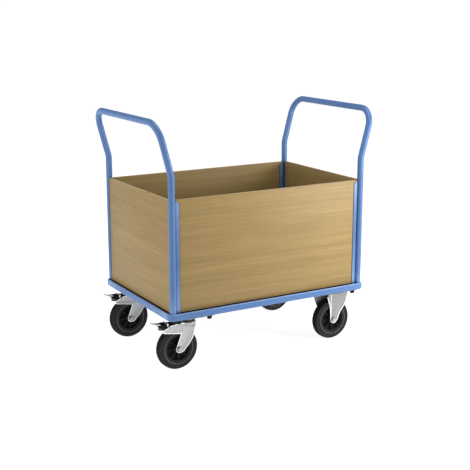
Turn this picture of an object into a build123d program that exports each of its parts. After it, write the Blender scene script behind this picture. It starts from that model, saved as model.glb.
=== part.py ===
from build123d import *
import math
import os

# Four-sided platform trolley.
# +X runs along the length towards the fixed castors, +Y across the width,
# +Z up. The origin is on the floor under the middle of the platform.
# All sizes are in millimetres.

# ---- overall sizes ----
frame_length = 1068.0
frame_width = 714.0
wheel_radius = 100.0
wall_height = 511.5
handle_height = 1135.0

# ---- castor plates and mounting plates, from the wheel's top upwards ----
castor_rise = 46.0
plate_thickness = 6.0
mount_thickness = 5.0
mount_length = 200.0
mount_inset = 12.0

# ---- platform frame ----
frame_height = 31.0
frame_corner = 28.0
corner_rail = 45.0
rim_wall = 3.0
rim_lip = 9.0
rim_flange = 40.0

# ---- deck board ----
deck_thickness = 21.0
deck_gap = 1.0

# ---- handles, one bent tube at each end ----
tube_radius = 15.0
tube_wall = 2.0
upright_gap_x = 8.0
upright_gap_y = 4.0
handle_rake_height = 230.0
handle_lean = 15.0
handle_bend_radius = 85.0

# ---- side and end panels ----
panel_thickness = 12.0
panel_foot_gap = 7.5
end_panel_offset = 8.0
end_panel_play = 1.0

# ---- channel strips that hold the long panels ----
strip_wall = 2.0
strip_width = 20.0
strip_drop = 6.0
strip_slant = 13.0
strip_foot_gap = 4.0
strip_play = 0.3

# ---- panel fixings ----
fixing_margin = 80.0
screw_radius = 2.5
screw_head = 4.5
screw_head_height = 2.2
screw_cover = 2.0
dowel_radius = 3.0
dowel_depth = 20.0
dowel_reach = 5.0

# ---- bolts with black caps along the mounting plates ----
cap_radius = 10.0
cap_height = 16.0
cap_spread = 78.0
cap_inset = 10.0

# ---- castors ----
tyre_width = 40.0
rim_radius = 66.0
rim_band = 8.0
rib_thickness = 4.0
castor_inset = 94.0
swivel_inset = 132.0
fixed_inset = 133.0
swivel_offset = 54.0
plate_length = 140.0
fixed_plate_length = 184.0
plate_width = 110.0
plate_corner = 8.0
hole_x = 105.0
hole_y = 80.0
bolt_radius = 5.0
bolt_head_across = 17.0
bolt_head_height = 8.0
slot_radius = 5.5
slot_length = 15.0
cheek_gap = 5.0
cheek_thickness = 4.0
cheek_fold_x = -14.0
cheek_fold = 6.0
crown_radius = 40.0
crown_rise = 26.0
crown_thickness = 16.0
kingpin_radius = 8.0
kingpin_foot = 14.0
cup_radius = 36.0
cup_bore = 24.0
cup_depth = 14.0
ball_radius = 2.7
axle_radius = 6.0
axle_head_across = 18.0
sleeve_radius = 9.0
bearing_radius = 14.0
hub_radius = 21.0
hub_play = 2.0
running_play = 0.05

# ---- brake ----
brake_pivot_x = -47.0
brake_pivot_rise = 10.0
brake_pin_radius = 5.0
brake_side_play = 4.0
pedal_width = 38.0
pedal_hole = 7.0

os.makedirs("parts", exist_ok=True)

# Levels that follow from the sizes above.
half_l = frame_length / 2
half_w = frame_width / 2
axle_z = wheel_radius
wheel_top = 2 * wheel_radius
plate_bottom = wheel_top + castor_rise
plate_top = plate_bottom + plate_thickness
mount_bottom = plate_top
mount_top = mount_bottom + mount_thickness
frame_bottom = mount_top
frame_top = frame_bottom + frame_height
deck_bottom = frame_bottom + rim_wall
deck_top = deck_bottom + deck_thickness
upright_x = half_l - rim_wall - upright_gap_x - tube_radius
upright_y = half_w - rim_wall - upright_gap_y - tube_radius
panel_bottom = deck_top + panel_foot_gap
panel_top = panel_bottom + wall_height
side_panel_face = upright_y
end_panel_face = upright_x + end_panel_offset
end_panel_half = upright_y - tube_radius - end_panel_play
fixing_heights = (panel_bottom + fixing_margin, (panel_bottom + panel_top) / 2, panel_top - fixing_margin)
rim_joint = half_w - corner_rail
handle_bend_height = handle_height - handle_rake_height
mount_width = frame_width - 2 * mount_inset
castor_y = half_w - castor_inset
swivel_x = swivel_inset - half_l
swivel_wheel_x = swivel_x - swivel_offset
fixed_wheel_x = half_l - fixed_inset
cheek_inner = tyre_width / 2 + cheek_gap
crown_top = wheel_top + crown_rise
crown_bottom = crown_top - crown_thickness
cup_bottom = plate_bottom - cup_depth
ball_z = (crown_top + cup_bottom) / 2
brake_pivot_z = wheel_top + brake_pivot_rise


def save(node, shape):
    export_step(shape, "parts/" + node + ".step")


def cylinder_z(x, y, z0, z1, r):
    return Pos(x, y, (z0 + z1) / 2) * Cylinder(r, z1 - z0)


def cylinder_y(x, y0, y1, z, r):
    return Pos(x, (y0 + y1) / 2, z) * Rot(90, 0, 0) * Cylinder(r, abs(y1 - y0))


def block(x0, x1, y0, y1, z0, z1):
    return Pos((x0 + x1) / 2, (y0 + y1) / 2, (z0 + z1) / 2) * Box(x1 - x0, y1 - y0, z1 - z0)


def rounded_slab(lx, ly, r, z0, z1):
    return Pos(0, 0, z0) * extrude(RectangleRounded(lx, ly, r), z1 - z0)


def hexagon_y(x, y0, y1, z, across):
    prism = extrude(RegularPolygon(across / 2, 6, major_radius=False), abs(y1 - y0))
    return Pos(x, max(y0, y1), z) * Rot(90, 0, 0) * prism


def hexagon_z(x, y, z0, z1, across):
    prism = extrude(RegularPolygon(across / 2, 6, major_radius=False), z1 - z0)
    return Pos(x, y, z0) * prism


def side_plate(outline, y0, y1):
    face = make_face(outline)
    plate = extrude(face, abs(y1 - y0))
    return Pos(0, max(y0, y1), 0) * Rot(90, 0, 0) * plate


def slot_z(x, y, z0, z1):
    straight = slot_length - 2 * slot_radius
    middle = block(x - straight / 2, x + straight / 2, y - slot_radius, y + slot_radius, z0, z1)
    end_a = cylinder_z(x - straight / 2, y, z0, z1, slot_radius)
    end_b = cylinder_z(x + straight / 2, y, z0, z1, slot_radius)
    return middle + end_a + end_b


# ================= platform =================

uprights = [(sx * upright_x, sy * upright_y) for sx in (-1, 1) for sy in (-1, 1)]

web_inner = rounded_slab(frame_length - 2 * rim_wall, frame_width - 2 * rim_wall,
                         frame_corner - rim_wall, frame_bottom - 1, frame_top + 1)
lip_inner = rounded_slab(frame_length - 2 * rim_lip, frame_width - 2 * rim_lip,
                         frame_corner - rim_lip, frame_bottom - 1, frame_top + 1)
flange_inner = rounded_slab(frame_length - 2 * rim_flange, frame_width - 2 * rim_flange,
                            4, frame_bottom - 1, frame_top + 1)
outer = rounded_slab(frame_length, frame_width, frame_corner, frame_bottom, frame_top)
web = outer - web_inner
lip = rounded_slab(frame_length, frame_width, frame_corner, frame_top - rim_wall, frame_top) - lip_inner
flange = rounded_slab(frame_length, frame_width, frame_corner, frame_bottom, deck_bottom) - flange_inner
ring = web + lip + flange
for x, y in uprights:
    ring = ring - cylinder_z(x, y, deck_bottom, frame_top + 1, tube_radius)

# The long rails carry the bent corners, the end rails are straight and welded between them.
save("rail_front", ring & block(-half_l, half_l, -half_w, -rim_joint, 0, frame_top))
save("rail_rear", ring & block(-half_l, half_l, rim_joint, half_w, 0, frame_top))
save("rail_left", ring & block(-half_l, 0, -rim_joint, rim_joint, 0, frame_top))
save("rail_right", ring & block(0, half_l, -rim_joint, rim_joint, 0, frame_top))

# The deck board lies on the bottom flange and is notched round the four uprights.
deck_inset = 2 * (rim_wall + deck_gap)
deck = rounded_slab(frame_length - deck_inset, frame_width - deck_inset,
                    frame_corner - rim_wall - deck_gap, deck_bottom, deck_top)
for x, y in uprights:
    deck = deck - cylinder_z(x, y, deck_bottom - 1, deck_top + 1, tube_radius + deck_gap)
save("deck_board", deck)


# ================= handles =================

def handle_path(side):
    lean = math.radians(handle_lean)
    reach = (handle_height - handle_bend_height) * math.tan(lean)
    foot = deck_bottom
    x0 = side * upright_x
    x1 = side * (upright_x + reach)
    corners = [
        (x0, -upright_y, foot),
        (x0, -upright_y, handle_bend_height),
        (x1, -upright_y, handle_height),
        (x1, upright_y, handle_height),
        (x0, upright_y, handle_bend_height),
        (x0, upright_y, foot),
    ]
    return FilletPolyline(*corners, radius=handle_bend_radius)


def handle(side):
    path = handle_path(side)
    start = Plane(origin=(side * upright_x, -upright_y, deck_bottom), z_dir=(0, 0, 1))
    skin = sweep(start * Circle(tube_radius), path=path)
    bore = sweep(start * Circle(tube_radius - tube_wall), path=path)
    tube = skin - bore
    for sy in (-1, 1):
        for z in fixing_heights:
            y0 = sy * (end_panel_half - 1)
            y1 = sy * (end_panel_half + dowel_reach + 1)
            tube = tube - cylinder_y(side * (end_panel_face - panel_thickness / 2), y0, y1, z, dowel_radius)
    return tube


save("handle_left", handle(-1))
save("handle_right", handle(1))


# ================= panels, strips and fixings =================

tube_side = upright_x - tube_radius
strip_web = tube_side - strip_wall
panel_end = strip_web - strip_play


def strip_screw_x(side):
    return side * (tube_side - strip_width / 2 - 2)


def long_panel(side):
    y0 = side * side_panel_face
    y1 = side * (side_panel_face - panel_thickness)
    panel = block(-panel_end, panel_end, min(y0, y1), max(y0, y1), panel_bottom, panel_top)
    for sx in (-1, 1):
        for z in fixing_heights:
            panel = panel - cylinder_y(strip_screw_x(sx), y1, side * (side_panel_face - screw_cover), z, screw_radius)
    return panel


def end_panel(side):
    x0 = side * end_panel_face
    x1 = side * (end_panel_face - panel_thickness)
    panel = block(min(x0, x1), max(x0, x1), -end_panel_half, end_panel_half, panel_bottom, panel_top)
    for sy in (-1, 1):
        for z in fixing_heights:
            panel = panel - cylinder_y((x0 + x1) / 2, sy * (end_panel_half - dowel_depth - 2),
                                       sy * (end_panel_half + 1), z, dowel_radius)
    return panel


def strip(sx, sy):
    y_out = side_panel_face + strip_play + strip_wall
    y_in = side_panel_face - panel_thickness - strip_play - strip_wall
    body = block(tube_side - strip_width, tube_side, y_in, y_out, deck_top + strip_foot_gap, panel_top - strip_drop)
    hollow = block(tube_side - strip_width - 1, strip_web, y_in + strip_wall, y_out - strip_wall, 0, panel_top + 100)
    channel = body - hollow
    # The top corner away from the upright is cut off at a slant.
    top = panel_top - strip_drop
    slant = Polyline((tube_side - strip_width - 1, top - strip_slant), (tube_side - 7, top + 1),
                     (tube_side - strip_width - 1, top + 1), close=True)
    channel = channel - side_plate(slant, y_in - 5, y_out + 5)
    for z in fixing_heights:
        channel = channel - cylinder_y(strip_screw_x(1), y_in - 1, y_in + strip_wall + 1, z, screw_radius)
    if sx < 0:
        channel = mirror(channel, about=Plane.YZ)
    if sy < 0:
        channel = mirror(channel, about=Plane.XZ)
    return channel


for side, name in ((-1, "front"), (1, "rear")):
    save("panel_" + name, long_panel(side))
for side, name in ((-1, "left"), (1, "right")):
    save("panel_" + name, end_panel(side))
for sx, end in ((-1, "left"), (1, "right")):
    for sy, face in ((-1, "front"), (1, "rear")):
        save("strip_" + face + "_" + end, strip(sx, sy))

# Round-headed wood screws go through the inner leg of each strip into the panel.
screws = []
inner_leg = side_panel_face - panel_thickness - strip_play - strip_wall
for sx in (-1, 1):
    for sy in (-1, 1):
        for z in fixing_heights:
            x = strip_screw_x(sx)
            shank = cylinder_y(x, sy * inner_leg, sy * (side_panel_face - screw_cover - 0.5), z, screw_radius)
            head = cylinder_y(x, sy * (inner_leg - screw_head_height), sy * inner_leg, z, screw_head)
            screws.append(head + shank)
save("panel_screws", Compound(children=screws))

# Steel dowels hold the end panels between the uprights.
dowels = []
for sx in (-1, 1):
    for sy in (-1, 1):
        for z in fixing_heights:
            dowels.append(cylinder_y(sx * (end_panel_face - panel_thickness / 2),
                                     sy * (end_panel_half - dowel_depth),
                                     sy * (end_panel_half + dowel_reach), z, dowel_radius))
save("panel_dowels", Compound(children=dowels))


# ================= castor mounting plates =================

mount_centres = {"left": swivel_x, "right": fixed_wheel_x}
bolt_spots = [(sx * hole_x / 2, sy * hole_y / 2) for sx in (-1, 1) for sy in (-1, 1)]

# Each plate has eight tapped holes, four for each castor.
for end, mx in mount_centres.items():
    plate = block(mx - mount_length / 2, mx + mount_length / 2, -mount_width / 2, mount_width / 2,
                  mount_bottom, mount_top)
    for sy in (-1, 1):
        for dx, dy in bolt_spots:
            plate = plate - cylinder_z(mx + dx, sy * castor_y + dy, mount_bottom - 1, mount_top + 1, bolt_radius)
    save("mount_plate_" + end, plate)

# Hexagon bolts come up through the slots of each castor's top plate.
castor_bolts = []
for mx in mount_centres.values():
    for sy in (-1, 1):
        for dx, dy in bolt_spots:
            x = mx + dx
            y = sy * castor_y + dy
            shank = cylinder_z(x, y, plate_bottom, mount_top, bolt_radius)
            castor_bolts.append(shank + hexagon_z(x, y, plate_bottom - bolt_head_height, plate_bottom,
                                                  bolt_head_across))
save("castor_bolts", Compound(children=castor_bolts))

# Short bolts with black caps join each mounting plate to the frame's bottom flange.
bolts = []
for mx in mount_centres.values():
    for dx in (-cap_spread, cap_spread):
        for sy in (-1, 1):
            bolts.append(cylinder_z(mx + dx, sy * (mount_width / 2 - cap_inset), mount_bottom - cap_height,
                                    mount_bottom, cap_radius))
save("frame_bolts", Compound(children=bolts))


# ================= wheels =================

def wheel_tyre(cx, cy):
    half = tyre_width / 2
    section = Polyline((rim_radius, -half + 3), (rim_radius + 3, -half), (wheel_radius - 9, -half),
                       (wheel_radius - 3, -half + 3), (wheel_radius, -half + 9),
                       (wheel_radius, half - 9), (wheel_radius - 3, half - 3), (wheel_radius - 9, half),
                       (rim_radius + 3, half), (rim_radius, half - 3), close=True)
    body = revolve(Plane.XY * make_face(section), Axis.Y)
    for sy in (-1, 1):
        bead = Pos(0, sy * half, 0) * Rot(90, 0, 0) * Torus(rim_radius + 6, 1.6)
        body = body + bead
    return Pos(cx, cy, axle_z) * body


def wheel_rim(cx, cy):
    half = tyre_width / 2
    band = cylinder_y(0, -half + 3, half - 3, 0, rim_radius) - cylinder_y(0, -half, half, 0, rim_radius - rim_band)
    hub_half = cheek_inner - hub_play
    hub = cylinder_y(0, -hub_half, hub_half, 0, hub_radius)
    disc = cylinder_y(0, -3, 3, 0, rim_radius - rim_band / 2)
    rim = band + hub + disc
    for i in range(8):
        rib = block(hub_radius - 3, rim_radius - rim_band + 2, 7 - half, half - 7,
                    -rib_thickness / 2, rib_thickness / 2)
        rim = rim + rib.rotate(Axis.Y, 45 * i)
    rim = rim - cylinder_y(0, -hub_half - 5, hub_half + 5, 0, bearing_radius)
    return Pos(cx, cy, axle_z) * rim


def wheel_bearing(cx, cy):
    length = cheek_inner - hub_play - 1
    cage = cylinder_y(0, -length, length, 0, bearing_radius)
    cage = cage - cylinder_y(0, -length - 5, length + 5, 0, sleeve_radius + running_play)
    return Pos(cx, cy, axle_z) * cage


def axle_sleeve(cx, cy):
    sleeve = cylinder_y(0, -cheek_inner, cheek_inner, 0, sleeve_radius)
    sleeve = sleeve - cylinder_y(0, -cheek_inner - 5, cheek_inner + 5, 0, axle_radius)
    return Pos(cx, cy, axle_z) * sleeve


def axle_bolt(cx, cy, outside):
    face = cheek_inner + cheek_thickness
    shank = cylinder_y(0, -(face + 10), face, 0, axle_radius)
    head = hexagon_y(0, face, face + 7, 0, axle_head_across)
    bolt = shank + head
    if outside < 0:
        bolt = mirror(bolt, about=Plane.XZ)
    return Pos(cx, cy, axle_z) * bolt


def axle_nut(cx, cy, outside):
    face = cheek_inner + cheek_thickness
    nut = hexagon_y(0, -(face + 9), -face, 0, axle_head_across)
    nut = nut - cylinder_y(0, -face - 20, 0, 0, axle_radius + 0.05)
    if outside < 0:
        nut = mirror(nut, about=Plane.XZ)
    return Pos(cx, cy, axle_z) * nut


# ================= swivel castors with brakes =================

def swivel_top_plate(cx, cy):
    px = cx + swivel_offset
    plate = Pos(px, cy, plate_bottom) * extrude(RectangleRounded(plate_length, plate_width, plate_corner),
                                                plate_thickness)
    cup = cylinder_z(px, cy, cup_bottom, plate_bottom, cup_radius)
    cup = cup - cylinder_z(px, cy, cup_bottom - 1, plate_bottom - 3, cup_bore)
    plate = plate + cup
    for dx, dy in bolt_spots:
        plate = plate - slot_z(px + dx, cy + dy, plate_bottom - 1, plate_top + 1)
    return plate - cylinder_z(px, cy, cup_bottom - 2, plate_top + 1, kingpin_radius)


def kingpin(cx, cy):
    px = cx + swivel_offset
    pin = cylinder_z(px, cy, crown_bottom - 10, plate_top, kingpin_radius)
    foot = cylinder_z(px, cy, crown_bottom - 11, crown_bottom - 0.5, kingpin_foot)
    return pin + foot


def ball_ring(cx, cy):
    return Pos(cx + swivel_offset, cy, ball_z) * Torus((cup_radius + cup_bore) / 2, ball_radius)


def fork_cheek():
    a = axle_z
    t = wheel_top
    return Polyline((-15, a - 8), (-17, a + 1), (9, t - 30), (4, t - 28), (-77, t - 15), (-82, t - 8), (-81, t),
                    (-62, t + 7), (-47, t + 17), (-25, t + 19), (-8, t + 22), (81, t + 22), (84, t - 4),
                    (76, t - 45), (52, a + 18), (21, a - 14), (10, a - 18), (0, a - 18.5), (-10, a - 15),
                    close=True)


def fork(cx, cy, inside):
    crown = cylinder_z(swivel_offset, 0, crown_bottom, crown_top, crown_radius)
    band = cylinder_z(swivel_offset, 0, crown_bottom - 18, crown_bottom + 2, crown_radius)
    band = band - cylinder_z(swivel_offset, 0, crown_bottom - 19, crown_bottom + 3, crown_radius - cheek_thickness)
    band = band & block(swivel_offset + crown_radius / 2, swivel_offset + 100, -100, 100, 0, crown_top)
    body = crown + band
    for sy in (-1, 1):
        y0 = sy * cheek_inner
        y1 = sy * (cheek_inner + cheek_thickness)
        body = body + side_plate(fork_cheek(), y0, y1)
    body = body - cylinder_z(swivel_offset, 0, crown_bottom - 20, crown_top + 4, kingpin_radius + running_play)
    reach = cheek_inner + cheek_thickness + 10
    body = body - cylinder_y(0, -reach, reach, axle_z, axle_radius)
    body = body - cylinder_y(brake_pivot_x, -reach, reach, brake_pivot_z, brake_pin_radius - 1)
    inner = sorted((inside * (cheek_inner - 1), inside * (cheek_inner + cheek_thickness + 1)))
    body = body - cylinder_y(22, inner[0], inner[1], axle_z + 9, 3.5)
    return Pos(cx, cy, 0) * body


def brake_pin(cx, cy):
    face = cheek_inner + cheek_thickness
    pin = cylinder_y(0, -face - 1.5, face + 1.5, 0, brake_pin_radius - 1)
    spacer = cylinder_y(0, -cheek_inner, cheek_inner, 0, brake_pin_radius)
    return Pos(cx + brake_pivot_x, cy, brake_pivot_z) * (pin + spacer)


def brake_arm(cx, cy):
    t = wheel_top
    side = Polyline((-98, t + 19), (-94, t + 13), (-66, t + 7), (-57, t - 1), (-54, t - 7), (-49, t - 10),
                    (-45, t - 7), (-42, t + 3), (-30, t + 8), (-17, t + 12), (-17, t + 18), (-38, t + 22),
                    (-60, t + 25), (-84, t + 25), close=True)
    half = cheek_inner - brake_side_play
    arm = side_plate(side, -half, half)
    trough = side_plate(Polyline((-95, t + 22), (-60, t + 18.5), (-26, t + 15.5), (-22, t + 40),
                                 (-95, t + 40), close=True), 4 - half, half - 4)
    arm = arm - trough
    arm = arm - cylinder_y(brake_pivot_x, -half - 9, half + 9, brake_pivot_z, brake_pin_radius + running_play)
    return Pos(cx, cy, 0) * arm


def brake_pedal(cx, cy):
    t = wheel_top
    tread = Polyline((-126, t + 31), (-122, t + 31.5), (-109, t + 25), (-88, t + 25), (-88, t + 27),
                     (-108, t + 27.2), (-120, t + 33.5), (-127, t + 33), close=True)
    pedal = side_plate(tread, -pedal_width / 2, pedal_width / 2)
    pedal = pedal - cylinder_z(-99, 0, t + 20, t + 32, pedal_hole)
    return Pos(cx, cy, 0) * pedal


for sy, face in ((-1, "front"), (1, "rear")):
    name = face + "_left"
    x = swivel_wheel_x
    y = sy * castor_y
    save("castor_plate_" + name, swivel_top_plate(x, y))
    save("kingpin_" + name, kingpin(x, y))
    save("ball_ring_" + name, ball_ring(x, y))
    save("fork_" + name, fork(x, y, -sy))
    save("brake_pin_" + name, brake_pin(x, y))
    save("brake_arm_" + name, brake_arm(x, y))
    save("brake_pedal_" + name, brake_pedal(x, y))
    save("axle_bolt_" + name, axle_bolt(x, y, sy))
    save("axle_nut_" + name, axle_nut(x, y, sy))
    save("axle_sleeve_" + name, axle_sleeve(x, y))
    save("tyre_" + name, wheel_tyre(x, y))
    save("rim_" + name, wheel_rim(x, y))
    save("bearing_" + name, wheel_bearing(x, y))


# ================= fixed castors =================

def bracket_cheek():
    a = axle_z
    t = wheel_top
    p = plate_bottom
    return Polyline((-43, p + 1), (-40, p - 17), (-29, t - 10), (-20, t - 40), (-19, a + 19), (-17, a - 2),
                    (-13, a - 12), (-4, a - 18), (6, a - 18), (14, a - 13), (24, a - 3), (36, a + 31),
                    (70, t - 26), (86, p - 22), (90, p + 1), close=True)


def fixed_bracket(cx, cy):
    plate = Pos(0, 0, plate_bottom) * extrude(RectangleRounded(fixed_plate_length, plate_width, plate_corner),
                                              plate_thickness)
    for dx, dy in bolt_spots:
        plate = plate - slot_z(dx, dy, plate_bottom - 1, plate_top + 1)
    # Two equal cheeks, the second turned half round, each with its narrow edge bent in.
    full = side_plate(bracket_cheek(), -cheek_inner - cheek_thickness, -cheek_inner)
    flat = full & block(cheek_fold_x, 300, -100, 100, 0, plate_bottom + 1)
    bent = full & block(-300, cheek_fold_x, -100, 100, 0, plate_bottom + 1)
    crease = Axis((cheek_fold_x, -cheek_inner - cheek_thickness, 0), (0, 0, 1))
    bent = bent.rotate(crease, -cheek_fold)
    cheek = flat + bent
    body = plate + cheek + cheek.rotate(Axis.Z, 180)
    reach = cheek_inner + cheek_thickness + 10
    body = body - cylinder_y(0, -reach, reach, axle_z, axle_radius)
    return Pos(cx, cy, 0) * body


fixed_nuts = []
for sy, face in ((-1, "front"), (1, "rear")):
    name = face + "_right"
    x = fixed_wheel_x
    y = sy * castor_y
    save("bracket_" + name, fixed_bracket(x, y))
    save("axle_bolt_" + name, axle_bolt(x, y, sy))
    save("axle_sleeve_" + name, axle_sleeve(x, y))
    save("tyre_" + name, wheel_tyre(x, y))
    save("rim_" + name, wheel_rim(x, y))
    save("bearing_" + name, wheel_bearing(x, y))
    fixed_nuts.append(axle_nut(x, y, sy))
save("axle_nuts_right", Compound(children=fixed_nuts))
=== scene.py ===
import math

import bmesh
import bpy
from mathutils import Matrix, Vector


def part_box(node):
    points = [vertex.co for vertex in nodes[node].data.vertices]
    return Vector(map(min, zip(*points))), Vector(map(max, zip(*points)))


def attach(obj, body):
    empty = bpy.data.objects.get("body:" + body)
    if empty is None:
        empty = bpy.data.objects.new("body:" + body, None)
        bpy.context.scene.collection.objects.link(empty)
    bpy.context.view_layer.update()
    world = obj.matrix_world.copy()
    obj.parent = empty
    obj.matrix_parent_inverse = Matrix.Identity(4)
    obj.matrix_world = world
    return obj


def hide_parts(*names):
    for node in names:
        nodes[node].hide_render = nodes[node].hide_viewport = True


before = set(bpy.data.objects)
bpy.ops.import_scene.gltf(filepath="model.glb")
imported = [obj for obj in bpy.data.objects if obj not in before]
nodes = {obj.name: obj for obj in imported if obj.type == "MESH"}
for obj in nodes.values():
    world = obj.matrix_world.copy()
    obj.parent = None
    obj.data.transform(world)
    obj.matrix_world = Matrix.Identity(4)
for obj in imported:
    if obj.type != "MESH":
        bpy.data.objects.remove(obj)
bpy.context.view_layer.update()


# The room. A wide pale floor, a sky that is white low down and dim above, one soft lamp by
# the cart's right front corner, a broader one off its left end and one overhead. The camera
# stands at the height of a person's eyes, off the left front corner.
floor_reach = 600
floor_shape = bmesh.new()
bmesh.ops.create_grid(floor_shape, x_segments=2, y_segments=2, size=floor_reach)
floor_mesh = bpy.data.meshes.new("floor")
floor_shape.to_mesh(floor_mesh)
floor_shape.free()
floor = bpy.data.objects.new("floor", floor_mesh)
bpy.context.scene.collection.objects.link(floor)
floor_paint = bpy.data.materials.new("floor_paint")
floor_paint.use_nodes = True
floor_shader = floor_paint.node_tree.nodes["Principled BSDF"]
floor_shader.inputs["Base Color"].default_value = (0.60, 0.60, 0.60, 1)
floor_shader.inputs["Roughness"].default_value = 0.9
floor_shader.inputs["Emission Color"].default_value = (1, 1, 1, 1)
floor_shader.inputs["Emission Strength"].default_value = 0.885
floor_shader.inputs["Specular IOR Level"].default_value = 0.1
floor_mesh.materials.append(floor_paint)

sky = bpy.data.worlds.new("sky")
sky.use_nodes = True
sky_way = sky.node_tree.nodes.new("ShaderNodeTexCoord")
sky_height = sky.node_tree.nodes.new("ShaderNodeSeparateXYZ")
sky_shade = sky.node_tree.nodes.new("ShaderNodeValToRGB")
sky_shade.color_ramp.elements[0].position = 0.13
sky_shade.color_ramp.elements[0].color = (1, 1, 1, 1)
sky_shade.color_ramp.elements[1].position = 0.32
sky_shade.color_ramp.elements[1].color = (0.16, 0.16, 0.16, 1)
sky.node_tree.links.new(sky_way.outputs["Generated"], sky_height.inputs["Vector"])
sky.node_tree.links.new(sky_height.outputs["Z"], sky_shade.inputs["Fac"])
sky.node_tree.links.new(sky_shade.outputs["Color"], sky.node_tree.nodes["Background"].inputs["Color"])
bpy.context.scene.world = sky
bpy.context.scene.view_settings.view_transform = "Standard"


def soft_lamp(name, place, aim, width, power):
    lamp = bpy.data.lights.new(name, "AREA")
    lamp.size = width
    lamp.energy = power
    stand = bpy.data.objects.new(name, lamp)
    stand.location = place
    stand.rotation_euler = (Vector(aim) - Vector(place)).to_track_quat("-Z", "Y").to_euler()
    stand.visible_camera = False
    bpy.context.scene.collection.objects.link(stand)


soft_lamp("lamp_right", (1.40, -1.45, 0.95), (0.45, -0.35, 0.5), 0.9, 32)
soft_lamp("lamp_left", (-3.0, 0.2, 1.5), (-0.5, 0.0, 0.5), 1.6, 34)
soft_lamp("lamp_above", (0.3, -0.5, 3.6), (0.0, 0.0, 0.6), 2.0, 75)

lens = bpy.data.cameras.new("camera")
lens.sensor_width = 36
lens.lens = 77.41
camera = bpy.data.objects.new("camera", lens)
camera.location = (-2.4349, -4.1717, 1.6577)
camera.rotation_euler = (math.pi / 2 - 0.2315, 0, -0.5294)
bpy.context.scene.collection.objects.link(camera)
bpy.context.scene.camera = camera


# Platform rim. 3 mm sheet steel folded to a C, with a lip on top and a broad flange below
# that carries the deck. The two long rails go round the corners, the two end rails are
# welded between them, and all four are powder coated blue.
def start_finish(name, roughness, metal=0.0):
    finish = bpy.data.materials.new(name)
    finish.use_nodes = True
    shader = finish.node_tree.nodes["Principled BSDF"]
    shader.inputs["Roughness"].default_value = roughness
    shader.inputs["Metallic"].default_value = metal
    return finish, finish.node_tree, shader


def blotches(tree, across, detail=3.0, stretch=(1, 1, 1)):
    place = tree.nodes.new("ShaderNodeTexCoord")
    turn = tree.nodes.new("ShaderNodeMapping")
    turn.inputs["Scale"].default_value = stretch
    noise = tree.nodes.new("ShaderNodeTexNoise")
    noise.inputs["Scale"].default_value = 1 / across
    noise.inputs["Detail"].default_value = detail
    tree.links.new(place.outputs["Object"], turn.inputs["Vector"])
    tree.links.new(turn.outputs["Vector"], noise.inputs["Vector"])
    return noise.outputs["Fac"]


def between(tree, pattern, low, high, colours):
    ramp = tree.nodes.new("ShaderNodeValToRGB")
    ramp.color_ramp.elements[0].position = low
    ramp.color_ramp.elements[1].position = high
    ramp.color_ramp.elements[0].color = (*colours[0], 1)
    ramp.color_ramp.elements[1].color = (*colours[1], 1)
    tree.links.new(pattern, ramp.inputs["Fac"])
    return ramp.outputs["Color"]


def spread(tree, pattern, low, high):
    scale = tree.nodes.new("ShaderNodeMapRange")
    scale.inputs["From Min"].default_value = 0.3
    scale.inputs["From Max"].default_value = 0.7
    scale.inputs["To Min"].default_value = low
    scale.inputs["To Max"].default_value = high
    tree.links.new(pattern, scale.inputs["Value"])
    return scale.outputs["Result"]


def relief(tree, pattern, depth, under=None):
    bump = tree.nodes.new("ShaderNodeBump")
    bump.inputs["Strength"].default_value = 1.0
    bump.inputs["Distance"].default_value = depth
    tree.links.new(pattern, bump.inputs["Height"])
    if under is not None:
        tree.links.new(under, bump.inputs["Normal"])
    return bump.outputs["Normal"]


def mixed(tree, share, first, second, kind="MIX"):
    mix = tree.nodes.new("ShaderNodeMix")
    mix.data_type = "RGBA"
    mix.blend_type = kind
    for value, socket in ((share, mix.inputs[0]), (first, mix.inputs[6]), (second, mix.inputs[7])):
        if isinstance(value, bpy.types.NodeSocket):
            tree.links.new(value, socket)
        elif isinstance(value, tuple):
            socket.default_value = (*value, 1)
        else:
            socket.default_value = value
    return mix.outputs[2]


def corner_shade(tree, reach, shade, low=0.40, high=0.92):
    """Painted shade: white in the open, and the shade colour, by ambient occlusion, in corners and where
    pieces meet.
    """
    hollow = tree.nodes.new("ShaderNodeAmbientOcclusion")
    hollow.samples = 6
    hollow.inputs["Distance"].default_value = reach
    return between(tree, hollow.outputs["AO"], low, high, (shade, (1, 1, 1)))


def edge_share(tree, low=0.52, high=0.60):
    shape = tree.nodes.new("ShaderNodeNewGeometry")
    return between(tree, shape.outputs["Pointiness"], low, high, ((0, 0, 0), (1, 1, 1)))


def powder_coat(name, dark, light, edge):
    finish, tree, shader = start_finish(name, 0.4)
    body = between(tree, blotches(tree, 0.11, 4), 0.3, 0.7, (dark, light))
    # Painted highlight: sharp outer edges, found by pointiness, take the lighter edge blue.
    edge_highlit = mixed(tree, edge_share(tree), body, edge)
    # Painted shade: darker blue in corners and where parts meet.
    painted_corner_shade = corner_shade(tree, 0.022, (0.13, 0.15, 0.24))
    tree.links.new(mixed(tree, 1.0, edge_highlit, painted_corner_shade, "MULTIPLY"), shader.inputs["Base Color"])
    tree.links.new(spread(tree, blotches(tree, 0.03, 5), 0.34, 0.46), shader.inputs["Roughness"])
    peel = relief(tree, blotches(tree, 0.0016, 2), 0.00005)
    tree.links.new(relief(tree, blotches(tree, 0.0005, 1), 0.00001, peel), shader.inputs["Normal"])
    shader.inputs["Specular IOR Level"].default_value = 0.35
    return finish


blue_coat = powder_coat("blue_powder_coat", (0.062, 0.140, 0.325), (0.073, 0.162, 0.357), (0.19, 0.33, 0.58))
# A lighter copy of the blue coat, painted highlight for the rim's top bend.
blue_coat_highlit = powder_coat("blue_coat_painted_highlight", (0.17, 0.28, 0.55), (0.20, 0.32, 0.60), (0.25, 0.38, 0.66))


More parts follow.
